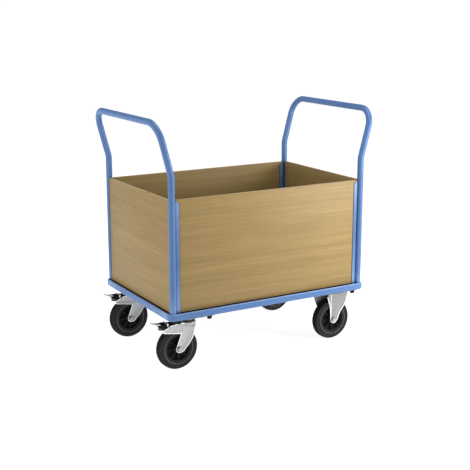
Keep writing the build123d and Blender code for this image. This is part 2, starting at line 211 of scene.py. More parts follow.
def grown_edges(made):
    return [part for part in made if isinstance(part, bmesh.types.BMEdge) and part.is_boundary]


def run_on(shape, edges, step):
    made = bmesh.ops.extrude_edge_only(shape, edges=edges)["geom"]
    points = [part for part in made if isinstance(part, bmesh.types.BMVert)]
    bmesh.ops.translate(shape, verts=points, vec=step)
    return grown_edges(made)


def bend_on(shape, edges, centre, axis, angle, steps):
    points = list({point for edge in edges for point in edge.verts})
    made = bmesh.ops.spin(shape, geom=points + edges, cent=centre, axis=axis, dvec=(0, 0, 0),
                          angle=angle, steps=steps, use_duplicate=False)["geom_last"]
    return [part for part in made if isinstance(part, bmesh.types.BMEdge)]


def rounded_outline(shape, points, corners):
    """A flat face through the points, with the corners rounded to the radii given by their number."""
    before = set(shape.faces)
    made = [shape.verts.new(point) for point in points]
    shape.faces.new(made)
    for radius in sorted(set(corners.values())):
        chosen = [made[number] for number in corners if corners[number] == radius]
        bmesh.ops.bevel(shape, geom=chosen, offset=radius, offset_type="OFFSET", segments=4,
                        profile=0.5, affect="VERTICES", material=-1)
    return [face for face in shape.faces if face not in before][0]


def finish_piece(name, shape, finishes, body, stands_for=(), crease=32, eased=0.0):
    bmesh.ops.remove_doubles(shape, verts=shape.verts, dist=0.000005)
    bmesh.ops.recalc_face_normals(shape, faces=shape.faces)
    mesh = bpy.data.meshes.new(name)
    shape.to_mesh(mesh)
    shape.free()
    for finish in finishes:
        mesh.materials.append(finish)
    for face in mesh.polygons:
        face.use_smooth = True
    mesh.set_sharp_from_angle(angle=math.radians(crease))
    piece = bpy.data.objects.new(name, mesh)
    bpy.context.scene.collection.objects.link(piece)
    if eased:
        bevel = piece.modifiers.new("eased_edges", "BEVEL")
        bevel.width = eased
        bevel.segments = 2
        bevel.limit_method = "ANGLE"
        bevel.angle_limit = math.radians(crease)
        bevel.harden_normals = True
    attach(piece, body)
    if stands_for:
        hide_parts(*stands_for)


rim_low, rim_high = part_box("rail_front")
rim_corner = 0.028
rim_section = [(0.040, 0), (0, 0), (0, 0.031), (0.009, 0.031), (0.009, 0.028), (0.003, 0.028),
               (0.003, 0.003), (0.040, 0.003)]
rim_bends = {0: 0.0006, 1: 0.0045, 2: 0.0045, 3: 0.0008, 4: 0.0008, 5: 0.0015, 6: 0.0015, 7: 0.0006}
bend_depth = 0.005


def paint_rim_top_highlight(shape):
    """Painted highlight: faces turned up or down over the bend along the rim's top take the lighter blue
    coat.
    """
    shape.normal_update()
    for face in shape.faces:
        if abs(face.normal.z) > 0.3 and face.calc_center_median().z > rim_high.z - bend_depth:
            face.material_index = 1


def rail_start(shape):
    points = [(rim_low.x + inward, rim_high.y, rim_low.z + up) for inward, up in rim_section]
    return list(rounded_outline(shape, points, rim_bends).edges)


def finish_rail(name, shape, edges, turn, node):
    bmesh.ops.holes_fill(shape, edges=edges, sides=0)
    bmesh.ops.rotate(shape, verts=shape.verts, cent=(0, 0, 0), matrix=Matrix.Rotation(turn, 3, "Z"))
    paint_rim_top_highlight(shape)
    finish_piece(name, shape, [blue_coat, blue_coat_highlit], "trolley", [node])


def long_rail(name, turn, node):
    shape = bmesh.new()
    edges = rail_start(shape)
    return_length = rim_high.y - rim_low.y - rim_corner
    front_length = rim_high.x - rim_low.x - 2 * rim_corner
    edges = run_on(shape, edges, (0, -return_length, 0))
    centre = (rim_low.x + rim_corner, rim_low.y + rim_corner, 0)
    edges = bend_on(shape, edges, centre, (0, 0, 1), math.pi / 2, 10)
    for step in range(8):
        edges = run_on(shape, edges, (front_length / 8, 0, 0))
    centre = (rim_high.x - rim_corner, rim_low.y + rim_corner, 0)
    edges = bend_on(shape, edges, centre, (0, 0, 1), math.pi / 2, 10)
    edges = run_on(shape, edges, (0, return_length, 0))
    finish_rail(name, shape, edges, turn, node)


def end_rail(name, turn, node):
    shape = bmesh.new()
    edges = rail_start(shape)
    for step in range(6):
        edges = run_on(shape, edges, (0, -2 * rim_high.y / 6, 0))
    finish_rail(name, shape, edges, turn, node)


long_rail("rim_front", 0, "rail_front")
long_rail("rim_rear", math.pi, "rail_rear")
end_rail("rim_left", 0, "rail_left")
end_rail("rim_right", math.pi, "rail_right")


# Boards. Chipboard with a beech pattern on both faces, cut square and edged with a thin
# beech strip. The grain runs along each board. The deck is a thicker board that lies on the
# rim's flange; it is painted near black as painted shade, so the gap at the walls' feet shows as a black
# line.
def beech_pattern(name, along, dark, light, fleck):
    finish, tree, shader = start_finish(name, 0.5)
    long_way = {"x": (1, 0, 0), "y": (0, 1, 0)}[along]
    slow = tuple(0.022 if way else 1.0 for way in long_way)
    quick = tuple(0.08 if way else 1.0 for way in long_way)
    tone = between(tree, blotches(tree, 0.035, 4, slow), 0.32, 0.68, (dark, light))
    line_shades = ((0.90, 0.89, 0.87), (1.04, 1.04, 1.04))
    lines = between(tree, blotches(tree, 0.0055, 5, slow), 0.38, 0.62, line_shades)
    flecks = between(tree, blotches(tree, 0.0022, 2, quick), 0.60, 0.72, ((1, 1, 1), fleck))
    toned = mixed(tree, 1.0, tone, lines, "MULTIPLY")
    flecked = mixed(tree, 0.45, toned, flecks, "MULTIPLY")
    # Painted shade: near black in corners and at the boards' edges where they meet other parts.
    painted_corner_shade = corner_shade(tree, 0.007, (0.012, 0.011, 0.010), 0.58, 0.98)
    tree.links.new(mixed(tree, 1.0, flecked, painted_corner_shade, "MULTIPLY"), shader.inputs["Base Color"])
    tree.links.new(spread(tree, blotches(tree, 0.02, 4), 0.42, 0.55), shader.inputs["Roughness"])
    tree.links.new(relief(tree, blotches(tree, 0.0016, 4, quick), 0.00003), shader.inputs["Normal"])
    shader.inputs["Specular IOR Level"].default_value = 0.25
    return finish


beech_colours = ((0.258, 0.174, 0.064), (0.304, 0.208, 0.080), (0.80, 0.74, 0.60))
beech_along_x = beech_pattern("beech_grain_lengthwise", "x", *beech_colours)
beech_along_y = beech_pattern("beech_grain_crosswise", "y", *beech_colours)
beech_edge = beech_pattern("beech_edging", "x", (0.36, 0.27, 0.13), (0.44, 0.34, 0.17), (0.85, 0.80, 0.72))


board_edge_round = 0.0009


def board(name, node, face_finish, thin_axis):
    low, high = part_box(node)
    shape = bmesh.new()
    place = Matrix.Translation((low + high) / 2) @ Matrix.Diagonal((*(high - low), 1))
    bmesh.ops.create_cube(shape, size=1, matrix=place)
    bmesh.ops.bevel(shape, geom=list(shape.edges), offset=board_edge_round, offset_type="OFFSET",
                    segments=3, profile=0.5, affect="EDGES", material=-1)
    for face in shape.faces:
        face.material_index = 0 if abs(face.normal[thin_axis]) > 0.9 else 1
    finish_piece(name, shape, [face_finish, beech_edge], "trolley", [node], crease=60)


board("front_wall", "panel_front", beech_along_x, 1)
board("rear_wall", "panel_rear", beech_along_x, 1)
board("left_wall", "panel_left", beech_along_y, 0)
board("right_wall", "panel_right", beech_along_y, 0)


def dark_paint(name, dark, light, roughness, gloss=0.35):
    finish, tree, shader = start_finish(name, roughness)
    body = between(tree, blotches(tree, 0.04, 5), 0.3, 0.7, (dark, light))
    tree.links.new(body, shader.inputs["Base Color"])
    tree.links.new(spread(tree, blotches(tree, 0.01, 4), roughness - 0.08, roughness + 0.08),
                   shader.inputs["Roughness"])
    tree.links.new(relief(tree, blotches(tree, 0.0014, 2), 0.00004), shader.inputs["Normal"])
    shader.inputs["Specular IOR Level"].default_value = gloss
    return finish


def refinish(node, finish):
    """A part that is plain enough already keeps its shape and only gets its finish."""
    nodes[node].data.materials.clear()
    nodes[node].data.materials.append(finish)


# Painted shade: the deck is near black, so the gap under the walls reads as a shadow line.
deck_painted_shade = dark_paint("deck_black_painted_shade", (0.0030, 0.0026, 0.0024), (0.0065, 0.0055, 0.0050), 0.7, 0.06)
refinish("deck_board", deck_painted_shade)


# Push handles. One 30 mm round steel tube for each end. Its uprights are bent outwards above
# the walls, its top corners are bent round, and its feet are welded into the platform's
# corners.
tube_low, tube_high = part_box("handle_right")
tube_radius = 0.015
upright_x = 0.508
bend_height = 0.905
lean = math.radians(15)
tube_bend = 0.085


def push_handle(name, side, node):
    shape = bmesh.new()
    foot = Vector((upright_x, tube_low.y + tube_radius, tube_low.z))
    bmesh.ops.create_circle(shape, cap_ends=True, segments=40, radius=tube_radius,
                            matrix=Matrix.Translation(foot))
    edges = list(shape.edges)
    soft_bend = tube_bend * math.tan(lean / 2)
    rise = bend_height - soft_bend - foot.z
    for step in range(6):
        edges = run_on(shape, edges, (0, 0, rise / 6))
    centre = Vector((upright_x + tube_bend, 0, bend_height - soft_bend))
    edges = bend_on(shape, edges, centre, (0, 1, 0), lean, 4)
    along = Vector((math.sin(lean), 0, math.cos(lean)))
    top = tube_high.z - tube_radius
    slope = (top - bend_height) / math.cos(lean) - soft_bend - tube_bend
    edges = run_on(shape, edges, along * slope)
    corner = Vector((upright_x, 0, bend_height)) + along * (soft_bend + slope)
    corner.y = foot.y + tube_bend
    edges = bend_on(shape, edges, corner, along.cross(Vector((0, 1, 0))), math.pi / 2, 14)
    bar = -2 * foot.y - 2 * tube_bend
    for step in range(4):
        edges = run_on(shape, edges, (0, bar / 4, 0))
    corner.y = -foot.y - tube_bend
    edges = bend_on(shape, edges, corner, along.cross(Vector((0, 1, 0))), math.pi / 2, 14)
    edges = run_on(shape, edges, -along * slope)
    edges = bend_on(shape, edges, centre, (0, -1, 0), lean, 4)
    for step in range(6):
        edges = run_on(shape, edges, (0, 0, -rise / 6))
    bmesh.ops.holes_fill(shape, edges=edges, sides=0)
    if side < 0:
        bmesh.ops.rotate(shape, verts=shape.verts, cent=(0, 0, 0),
                         matrix=Matrix.Rotation(math.pi, 3, "Z"))
    finish_piece(name, shape, [blue_coat], "trolley", [node], crease=50)


push_handle("push_handle_right", 1, "handle_right")
push_handle("push_handle_left", -1, "handle_left")


# Corner channels. 2 mm sheet folded to a narrow U, welded upright beside each tube. The
# ends of the long walls slide into them. Each top is cut off at a slant and ground smooth.
channel_wall = 0.002
channel_bends = {0: 0.0006, 1: 0.0026, 2: 0.0026, 3: 0.0006, 4: 0.0006, 5: 0.0008, 6: 0.0008, 7: 0.0006}
slant_depth = 0.0125
slant_facing = (-0.70, 0, 0.714)


def corner_channel(name, side_x, side_y, node):
    low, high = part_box("strip_rear_right")
    hollow_x = high.x - channel_wall
    hollow_low_y = low.y + channel_wall
    hollow_high_y = high.y - channel_wall
    shape = bmesh.new()
    points = [(low.x, low.y, low.z), (high.x, low.y, low.z), (high.x, high.y, low.z),
              (low.x, high.y, low.z), (low.x, hollow_high_y, low.z), (hollow_x, hollow_high_y, low.z),
              (hollow_x, hollow_low_y, low.z), (low.x, hollow_low_y, low.z)]
    edges = list(rounded_outline(shape, points, channel_bends).edges)
    for step in range(4):
        edges = run_on(shape, edges, (0, 0, (high.z - low.z) / 4))
    bmesh.ops.holes_fill(shape, edges=edges, sides=0)
    every = list(shape.verts) + list(shape.edges) + list(shape.faces)
    cut = bmesh.ops.bisect_plane(shape, geom=every, plane_co=(low.x, 0, high.z - slant_depth),
                                 plane_no=slant_facing, clear_outer=True)
    open_edges = [part for part in cut["geom_cut"] if isinstance(part, bmesh.types.BMEdge)]
    bmesh.ops.holes_fill(shape, edges=open_edges, sides=0)
    if side_x < 0:
        bmesh.ops.scale(shape, verts=shape.verts, vec=(-1, 1, 1))
    if side_y < 0:
        bmesh.ops.scale(shape, verts=shape.verts, vec=(1, -1, 1))
    finish_piece(name, shape, [blue_coat], "trolley", [node])


corner_channel("channel_rear_right", 1, 1, "strip_rear_right")
corner_channel("channel_front_right", 1, -1, "strip_front_right")
corner_channel("channel_rear_left", -1, 1, "strip_rear_left")
corner_channel("channel_front_left", -1, -1, "strip_front_left")


# Wall screws. Round-headed cross-slot wood screws, coated blue with the channels, three in
# each channel's inner leg. The end walls hang between the tubes on plain steel dowels,
# which don't show.
def zinc_plate(name, dark, light, roughness, metal=0.85):
    finish, tree, shader = start_finish(name, roughness, metal)
    sheen = between(tree, blotches(tree, 0.009, 5), 0.3, 0.7, (dark, light))
    # Painted shade: darker in corners and where parts meet.
    painted_corner_shade = corner_shade(tree, 0.010, (0.16, 0.15, 0.15))
    tree.links.new(mixed(tree, 1.0, sheen, painted_corner_shade, "MULTIPLY"), shader.inputs["Base Color"])
    tree.links.new(spread(tree, blotches(tree, 0.004, 4), roughness - 0.06, roughness + 0.08),
                   shader.inputs["Roughness"])
    tree.links.new(relief(tree, blotches(tree, 0.0011, 3), 0.00003), shader.inputs["Normal"])
    return finish


bright_zinc = zinc_plate("bright_zinc_plate", (0.35, 0.355, 0.36), (0.43, 0.43, 0.425), 0.46)
# A darker copy of the zinc for the fixed brackets, painted shade.
shaded_bracket_zinc = zinc_plate("fixed_bracket_zinc_painted_shade", (0.235, 0.238, 0.242), (0.295, 0.295, 0.292), 0.50)
# Near-white zinc, painted highlight: on the forks' and brackets' edges, the brackets' folds, and the brakes'
# band and tread.
near_white_highlight_zinc = zinc_plate("zinc_painted_highlight", (0.88, 0.88, 0.88), (0.95, 0.95, 0.94), 0.30, 0.6)

screw_x = 0.481
screw_seat_y = 0.3207
screw_heights = (0.3685, 0.54425, 0.720)
screw_head = [(0.0045, 0), (0.0043, 0.0008), (0.0034, 0.0016), (0.0018, 0.0021), (0.0011, 0.0022)]
screw_slot = (0.0046, 0.0009, 0.0004)
slot_height = 0.0017
head_reach = 0.01
screw_shape = bmesh.new()
for side_x in (-1, 1):
    for side_y in (-1, 1):
        for height in screw_heights:
            seat = Vector((side_x * screw_x, side_y * screw_seat_y, height))
            stand = Matrix.Translation(seat) @ Matrix.Rotation(side_y * math.pi / 2, 4, "X")
            ring = [screw_shape.verts.new((radius, 0, rise)) for radius, rise in screw_head]
            lines = [screw_shape.edges.new(pair) for pair in zip(ring, ring[1:])]
            bmesh.ops.spin(screw_shape, geom=ring + lines, cent=(0, 0, 0), axis=(0, 0, 1),
                           dvec=(0, 0, 0), angle=2 * math.pi, steps=16, use_merge=True,
                           use_duplicate=False)
            fresh = [point for point in screw_shape.verts if point.co.length < head_reach]
            slots = []
            for turn in (0, math.pi / 2):
                cut = (Matrix.Rotation(turn, 4, "Z") @ Matrix.Translation((0, 0, slot_height))
                       @ Matrix.Diagonal((*screw_slot, 1)))
                slots += bmesh.ops.create_cube(screw_shape, size=1, matrix=cut)["verts"]
            bmesh.ops.transform(screw_shape, matrix=stand, verts=fresh + slots)
finish_piece("wall_screws", screw_shape, [blue_coat], "trolley", ["panel_screws"])
refinish("panel_dowels", bright_zinc)


# Mounting plates and their bolts. Two 5 mm steel plates across the underside, in dark
# paint, take the four castors. Short capped bolts hold them to the rim's flange, and
# hexagon bolts come up through the castors' slots.
plate_paint = dark_paint("dark_plate_paint", (0.020, 0.026, 0.045), (0.034, 0.042, 0.066), 0.45)
cap_plastic = dark_paint("black_cap_plastic", (0.0020, 0.0020, 0.0022), (0.0050, 0.0050, 0.0050), 0.50, 0.12)
refinish("mount_plate_left", plate_paint)
refinish("mount_plate_right", plate_paint)


def turned(shape, section, place, steps=32):
    """Spins a section of (radius, height) points about an upright line, then puts it in place."""
    before = set(shape.verts)
    ring = [shape.verts.new((radius, 0, height)) for radius, height in section]
    lines = [shape.edges.new(pair) for pair in zip(ring, ring[1:])]
    bmesh.ops.spin(shape, geom=ring + lines, cent=(0, 0, 0), axis=(0, 0, 1), dvec=(0, 0, 0),
                   angle=2 * math.pi, steps=steps, use_merge=True, use_duplicate=False)
    made = [point for point in shape.verts if point not in before]
    bmesh.ops.remove_doubles(shape, verts=made, dist=0.000002)
    made = [point for point in shape.verts if point not in before]
    bmesh.ops.transform(shape, matrix=place, verts=made)


def hexagon(shape, across, height, place):
    radius = across / math.sqrt(3)
    bmesh.ops.create_cone(shape, cap_ends=True, segments=6, radius1=radius, radius2=radius,
                          depth=height, matrix=place @ Matrix.Translation((0, 0, height / 2)))


plate_spots = []
for side in ("left", "right"):
    low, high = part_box("mount_plate_" + side)
    plate_spots.append(((low.x + high.x) / 2, low, high))

cap_step_x = 0.078
cap_inset = 0.010
cap_stretch = 1.3
cap_section = [(0, 0), (0.0100, 0), (0.0100, 0.0028), (0.0092, 0.0036), (0.0088, 0.0125),
               (0.0074, 0.0148), (0.0045, 0.0158), (0, 0.0160)]
cap_shape = bmesh.new()
for middle, low, high in plate_spots:
    for step_x in (-cap_step_x, cap_step_x):
        for side_y in (-1, 1):
            place = (Matrix.Translation((middle + step_x, side_y * (high.y - cap_inset), low.z))
                     @ Matrix.Rotation(math.pi, 4, "X") @ Matrix.Diagonal((cap_stretch, 1, 1, 1)))
            turned(cap_shape, cap_section, place, steps=24)
finish_piece("plate_bolt_caps", cap_shape, [cap_plastic], "trolley", ["frame_bolts"])

wheel_y = 0.263
bolt_step_x = 0.0525
bolt_step_y = 0.040
castor_plate_sheet = 0.006
bolt_hexagon = 0.017
bolt_head = 0.0064
washer = 0.0014
washer_section = [(0.0050, 0.0), (0.0100, 0.0), (0.0100, washer), (0.0050, washer)]
bolt_shape = bmesh.new()
for middle, low, high in plate_spots:
    for side_y in (-1, 1):
        for step_x in (-bolt_step_x, bolt_step_x):
            for step_y in (-bolt_step_y, bolt_step_y):
                spot = Vector((middle + step_x, side_y * wheel_y + step_y, low.z - castor_plate_sheet))
                place = Matrix.Translation(spot) @ Matrix.Rotation(math.pi, 4, "X")
                turned(bolt_shape, washer_section, place, steps=24)
                hexagon(bolt_shape, bolt_hexagon, bolt_head, place @ Matrix.Translation((0, 0, washer)))
finish_piece("castor_plate_bolts", bolt_shape, [bright_zinc], "trolley", ["castor_bolts"],
             eased=0.0006)


# Castor top plates. 6 mm zinc-plated steel with rounded corners. Under each swivel
# castor's plate is a pressed cup that holds the upper ball race.
top_plate_bottom = 0.246
top_plate_top = 0.252
top_plate_corner = 0.008
race_cup = [(0.0240, 0.2325), (0.0250, 0.2320), (0.0340, 0.2320), (0.0360, 0.2335), (0.0362, 0.2400),
            (0.0375, 0.2435), (0.0420, 0.2462)]
race_wall = [(0.0240, 0.2325), (0.0236, 0.2340), (0.0236, 0.2460)]


def top_plate(shape, middle, length, width):
    points = [(middle.x + x * length / 2, middle.y + y * width / 2, top_plate_bottom)
              for x, y in ((-1, -1), (1, -1), (1, 1), (-1, 1))]
    face = rounded_outline(shape, points, {number: top_plate_corner for number in range(4)})
    made = bmesh.ops.extrude_face_region(shape, geom=[face])["geom"]
    bmesh.ops.translate(shape, verts=[part for part in made if isinstance(part, bmesh.types.BMVert)],
                        vec=(0, 0, top_plate_top - top_plate_bottom))


swivel_body = {"front_left": "swivel_front", "rear_left": "swivel_rear"}
castors = {}
for corner in ("front_left", "rear_left", "front_right", "rear_right"):
    low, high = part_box("tyre_" + corner)
    castors[corner] = (low + high) / 2

for corner in swivel_body:
    low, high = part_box("castor_plate_" + corner)
    middle = (low + high) / 2
    axis = Matrix.Translation((middle.x, middle.y, 0))
    plate_shape = bmesh.new()
    top_plate(plate_shape, middle, high.x - low.x, high.y - low.y)
    turned(plate_shape, race_cup, axis, steps=48)
    turned(plate_shape, race_wall, axis, steps=48)
    finish_piece("swivel_plate_" + corner, plate_shape, [bright_zinc], "trolley",
                 ["castor_plate_" + corner], eased=0.0008)


# Swivel heads. A riveted kingpin holds the fork's crown under the cup, and a ring of
# greased steel balls runs between the two.
grease_steel = zinc_plate("greased_steel", (0.16, 0.155, 0.15), (0.26, 0.25, 0.24), 0.28)
pin_section = [(0, 0.1990), (0.0095, 0.1992), (0.0125, 0.2005), (0.0140, 0.2030), (0.0140, 0.2085),
               (0.0130, 0.2095), (0.0080, 0.2095), (0.0080, 0.2520), (0, 0.2520)]
ball_count = 30
ball_radius = 0.0027
ball_place = (0.030, 0, 0.2290)
for corner, body in swivel_body.items():
    low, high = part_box("kingpin_" + corner)
    axis = Matrix.Translation(((low.x + high.x) / 2, (low.y + high.y) / 2, 0))
    pin_shape = bmesh.new()
    turned(pin_shape, pin_section, axis, steps=32)
    finish_piece("swivel_pin_" + corner, pin_shape, [bright_zinc], "trolley",
                 ["kingpin_" + corner])
    ball_shape = bmesh.new()
    for number in range(ball_count):
        around = Matrix.Rotation(number * math.tau / ball_count, 4, "Z")
        bmesh.ops.create_icosphere(ball_shape, subdivisions=2, radius=ball_radius,
                                   matrix=axis @ around @ Matrix.Translation(ball_place))
    finish_piece("swivel_balls_" + corner, ball_shape, [grease_steel], body,
                 ["ball_ring_" + corner], crease=60)


# Forks. Each swivel fork is pressed from 4 mm sheet: two legs with turned edges, painted
# near white along them as a highlight, that run down to the axle, broad wings behind them
# that hold the brake, and a round crown on top, with a skirt on the side away from the wheel's trail.
leg_inside = 0.025
leg_outside = 0.029
turned_edge = 0.0036
leg_dish = 0.0011


def flat_leg(shape, centre, outline, radii, y_inner, y_outer):
    points = [(centre.x + x / 1000, centre.y + y_inner, z / 1000) for x, z in outline]
    before = set(shape.faces)
    face = rounded_outline(shape, points, radii)
    made = bmesh.ops.extrude_face_region(shape, geom=[face])["geom"]
    bmesh.ops.translate(shape, verts=[part for part in made if isinstance(part, bmesh.types.BMVert)],
                        vec=(0, y_outer - y_inner, 0))
    front = [part for part in made if isinstance(part, bmesh.types.BMFace)]
    # Painted highlight: the turned edges and a band round the outer face take the near-white zinc.
    highlight_faces = [part for part in shape.faces if part not in before and abs(part.normal.y) < 0.5]
    for step in range(2):
        highlight_faces += bmesh.ops.inset_region(shape, faces=front, thickness=turned_edge / 2, depth=0,
                                         use_even_offset=True)["faces"]
    for part in highlight_faces:
        part.material_index = 1
    points = list({point for part in front for point in part.verts})
    bmesh.ops.translate(shape, verts=points, vec=(0, -leg_dish if y_outer > y_inner else leg_dish, 0))


leg_outline = [(-15, 92), (-17, 101), (9, 170), (4, 172), (-77, 185), (-82, 192), (-81, 200),
               (-62, 207), (-47, 217), (-25, 219), (-8, 222), (81, 222), (84, 196), (76, 155),
               (52, 118), (21, 86), (10, 82), (0, 81.5), (-10, 85)]
leg_radii = {0: 0.003, 1: 0.004, 2: 0.0025, 3: 0.0025, 4: 0.003, 5: 0.003, 6: 0.003, 7: 0.004,
             8: 0.004, 9: 0.003, 10: 0.003, 11: 0.003, 12: 0.006, 13: 0.010, 14: 0.010, 15: 0.004,
             16: 0.004, 17: 0.004, 18: 0.003}
swivel_trail = 0.054
crown_section = [(0.0086, 0.2130), (0.0086, 0.2256), (0.0290, 0.2260), (0.0325, 0.2236),
                 (0.0370, 0.2226), (0.0394, 0.2206), (0.0400, 0.2170), (0.0400, 0.2120),
                 (0.0370, 0.2070), (0.0310, 0.2035), (0.0290, 0.2050), (0.0350, 0.2090),
                 (0.0364, 0.2130), (0.0086, 0.2130)]
skirt_section = [(0.0400, 0.2140), (0.0400, 0.1950), (0.0385, 0.1922), (0.0366, 0.1930),
                 (0.0362, 0.2140)]
skirt_start = math.radians(-58)
skirt_sweep = math.radians(116)
for corner, body in swivel_body.items():
    centre = castors[corner]
    fork_shape = bmesh.new()
    for side in (-1, 1):
        flat_leg(fork_shape, centre, leg_outline, leg_radii, side * leg_inside, side * leg_outside)
    crown = Vector((centre.x + swivel_trail, centre.y, 0))
    turned(fork_shape, crown_section, Matrix.Translation(crown), steps=64)
    skirt = [fork_shape.verts.new((crown.x + radius * math.cos(skirt_start),
                                   crown.y + radius * math.sin(skirt_start), height))
             for radius, height in skirt_section]
    skirt_edges = [fork_shape.edges.new(pair) for pair in zip(skirt, skirt[1:] + skirt[:1])]
    fork_shape.faces.new(skirt)
    skirt_edges = bend_on(fork_shape, skirt_edges, crown, (0, 0, 1), skirt_sweep, 20)
    bmesh.ops.holes_fill(fork_shape, edges=skirt_edges, sides=0)
    finish_piece("pressed_fork_" + corner, fork_shape, [bright_zinc, near_white_highlight_zinc], body,
                 ["fork_" + corner], eased=0.0008)


# Fixed brackets. A top plate with two equal legs of 4 mm sheet welded to it, the second
# leg turned half round. The narrow edge of each leg is bent in a little to stiffen it. The strip
# along that bend and the legs' turned edges are painted near white as a highlight, and the
# brackets' zinc is a darker copy of the forks', as painted shade.
bracket_outline = [(-43, 246.5), (-40, 229), (-29, 190), (-20, 160), (-19, 119), (-17, 98), (-13, 88),
                   (-4, 82), (6, 82), (14, 87), (24, 97), (36, 131), (70, 174), (86, 224), (89, 246.5)]
bracket_radii = {1: 0.006, 2: 0.006, 3: 0.010, 4: 0.006, 5: 0.004, 6: 0.004, 7: 0.004, 8: 0.004,
                 9: 0.004, 10: 0.005, 11: 0.012, 12: 0.014, 13: 0.010}
fold_narrow = -0.0165
fold_broad = -0.014
fold_turn = math.radians(-6)
for corner in ("front_right", "rear_right"):
    centre = castors[corner]
    low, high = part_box("bracket_" + corner)
    bracket_shape = bmesh.new()
    top_plate(bracket_shape, centre, high.x - low.x, high.y - low.y)
    for turn in (0, math.pi):
        leg_shape = bmesh.new()
        flat_leg(leg_shape, Vector((0, 0, 0)), bracket_outline, bracket_radii, -leg_inside, -leg_outside)
        for fold in (fold_narrow, fold_broad):
            every = list(leg_shape.verts) + list(leg_shape.edges) + list(leg_shape.faces)
            bmesh.ops.bisect_plane(leg_shape, geom=every, plane_co=(fold, 0, 0), plane_no=(1, 0, 0))
        # Painted highlight: the strip between the two folds takes the near-white zinc.
        for part in leg_shape.faces:
            if fold_narrow < part.calc_center_median().x < fold_broad:
                part.material_index = 1
        narrow = [point for point in leg_shape.verts if point.co.x < fold_broad - 0.00001]
        bmesh.ops.rotate(leg_shape, verts=narrow, cent=(fold_broad, -leg_outside, 0),
                         matrix=Matrix.Rotation(fold_turn, 3, "Z"))
        bmesh.ops.rotate(leg_shape, verts=leg_shape.verts, cent=(0, 0, 0),
                         matrix=Matrix.Rotation(turn, 3, "Z"))
        bmesh.ops.translate(leg_shape, verts=leg_shape.verts, vec=(centre.x, centre.y, 0))
        leg_mesh = bpy.data.meshes.new("leg")
        leg_shape.to_mesh(leg_mesh)
        leg_shape.free()
        bracket_shape.from_mesh(leg_mesh)
        bpy.data.meshes.remove(leg_mesh)
    finish_piece("fixed_bracket_" + corner, bracket_shape, [shaded_bracket_zinc, near_white_highlight_zinc], "trolley",
                 ["bracket_" + corner], eased=0.0008)


# Axles. A 12 mm hexagon bolt through both legs, with a washer under its head and a lock
# nut at the far side. A steel sleeve between the legs carries the wheel's roller bush.
axle_radius = 0.0060
axle_hexagon = 0.018
axle_head = 0.0056
axle_washer = [(axle_radius, 0), (0.0120, 0), (0.0120, washer), (axle_radius, washer)]
nut_collar = [(0.0078, 0.0050), (0.0078, 0.0066), (0.0070, 0.0074), (0.0062, 0.0074)]
thread_end = [(axle_radius, 0.0050), (axle_radius, 0.0080), (0.0052, 0.0086), (0, 0.0086)]


def axle_end(shape, centre, out, nut):
    facing = (Matrix.Translation((centre.x, centre.y + out * leg_outside, centre.z))
              @ Matrix.Rotation(-out * math.pi / 2, 4, "X"))
    turned(shape, axle_washer, facing, steps=32)
    lift = facing @ Matrix.Translation((0, 0, washer))
    hexagon(shape, axle_hexagon, axle_head, lift)
    if nut:
        turned(shape, nut_collar, lift, steps=24)
        turned(shape, thread_end, lift, steps=24)


for corner, centre in castors.items():
    holder = swivel_body.get(corner, "trolley")
    outside = -1 if corner.startswith("front") else 1
    head_shape = bmesh.new()
    axle_end(head_shape, centre, outside, False)
    turned(head_shape, [(axle_radius, -leg_outside), (axle_radius, leg_outside)],
           Matrix.Translation(centre) @ Matrix.Rotation(math.pi / 2, 4, "X"), steps=24)
    finish_piece("axle_bolt_head_" + corner, head_shape, [bright_zinc], holder,
                 ["axle_bolt_" + corner], eased=0.0006)
    refinish("axle_sleeve_" + corner, bright_zinc)
    if corner in swivel_body:
        nut_shape = bmesh.new()
        axle_end(nut_shape, centre, -outside, True)
        finish_piece("axle_lock_nut_" + corner, nut_shape, [bright_zinc], holder,
                     ["axle_nut_" + corner], eased=0.0006)
nut_shape = bmesh.new()
axle_end(nut_shape, castors["front_right"], 1, True)
axle_end(nut_shape, castors["rear_right"], -1, True)
finish_piece("axle_lock_nuts_right", nut_shape, [bright_zinc], "trolley",
             ["axle_nuts_right"], eased=0.0006)


# Wheels. Solid black rubber tyres of 200 mm on moulded plastic rims. The tyre has a
# slightly crowned tread, a mould line round the middle and three raised rings on each side,
# the innermost painted lighter grey as a highlight. The rim is a deep band and a hub, joined
# by a web with eight ribs on each side; the web is painted darker than the rim as painted shade.
def black_rubber(name, dark, light, roughness, gloss):
    finish, tree, shader = start_finish(name, roughness)
    body = between(tree, blotches(tree, 0.018, 5), 0.3, 0.7, (dark, light))
    tree.links.new(body, shader.inputs["Base Color"])
    tree.links.new(spread(tree, blotches(tree, 0.008, 5), roughness - 0.10, roughness + 0.08),
                   shader.inputs["Roughness"])
    tree.links.new(relief(tree, blotches(tree, 0.0009, 3), 0.00006), shader.inputs["Normal"])
    shader.inputs["Specular IOR Level"].default_value = gloss
    return finish


wall_rubber = black_rubber("sidewall_rubber", (0.014, 0.014, 0.0145), (0.021, 0.021, 0.021), 0.72, 0.16)
tread_rubber = black_rubber("tread_rubber", (0.005, 0.005, 0.005), (0.011, 0.011, 0.011), 0.80, 0.10)
# Painted highlight: the innermost raised ring is a lighter grey rubber.
ring_highlight_rubber = black_rubber("ring_rubber_painted_highlight", (0.055, 0.055, 0.055), (0.085, 0.085, 0.084), 0.50, 0.4)
rim_plastic = dark_paint("black_rim_plastic", (0.009, 0.009, 0.0095), (0.016, 0.016, 0.016), 0.5, 0.2)
